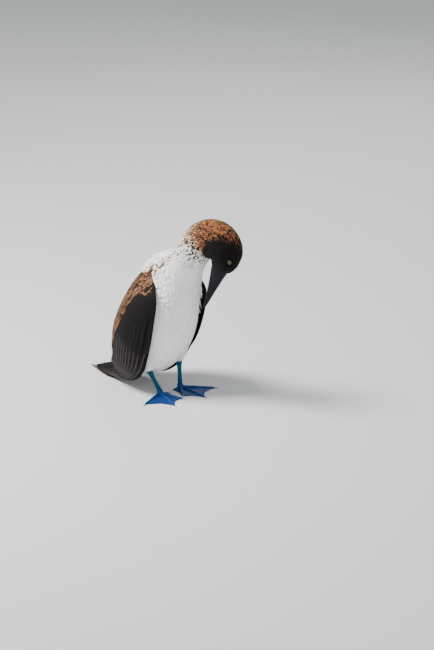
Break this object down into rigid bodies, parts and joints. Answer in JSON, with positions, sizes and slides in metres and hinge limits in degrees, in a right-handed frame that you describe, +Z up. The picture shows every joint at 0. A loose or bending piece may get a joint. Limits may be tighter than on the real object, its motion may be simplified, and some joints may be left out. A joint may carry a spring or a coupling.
{
  "type": "blue-footed booby",
  "caption": "Life-size blue-footed booby, a still model: upright on webbed blue feet, neck arched over, bill pointed down to the breast, folded wings and tail on the floor.",
  "frame": {"origin": "the middle of the bounding box's bottom, on the floor under the bird", "axes": "the bird faces -Y, its left side is +X and +Z is up"},
  "size_m": [0.2084, 0.456, 0.4223],
  "materials": {
    "white_plumage": "soft white feathers, modelled solid",
    "head_plumage": "cinnamon and white streaked feathers, modelled solid",
    "brown_plumage": "dark brown flight feathers, modelled solid",
    "bill_horn": "slate grey horn, satin",
    "eye": "pale yellow, glossy",
    "blue_skin": "bright blue scaled skin, satin",
    "claw_horn": "pale grey horn"
  },
  "bodies": {
    "root": {"trunk": "white_plumage", "neck": "head_plumage", "head": "head_plumage", "bill_upper": "bill_horn", "bill_lower": "bill_horn", "tail": "brown_plumage", "eye_left": "eye", "thigh_left": "white_plumage", "shank_left": "blue_skin", "foot_left": "blue_skin", "claw_left_hallux": "claw_horn", "claw_left_inner": "claw_horn", "claw_left_middle": "claw_horn", "claw_left_outer": "claw_horn", "wing_left_coverts": "brown_plumage", "wing_left_secondaries": "brown_plumage", "wing_left_primaries": "brown_plumage", "eye_right": "eye", "thigh_right": "white_plumage", "shank_right": "blue_skin", "foot_right": "blue_skin", "claw_right_hallux": "claw_horn", "claw_right_inner": "claw_horn", "claw_right_middle": "claw_horn", "claw_right_outer": "claw_horn", "wing_right_coverts": "brown_plumage", "wing_right_secondaries": "brown_plumage", "wing_right_primaries": "brown_plumage"}
  },
  "joints": []
}
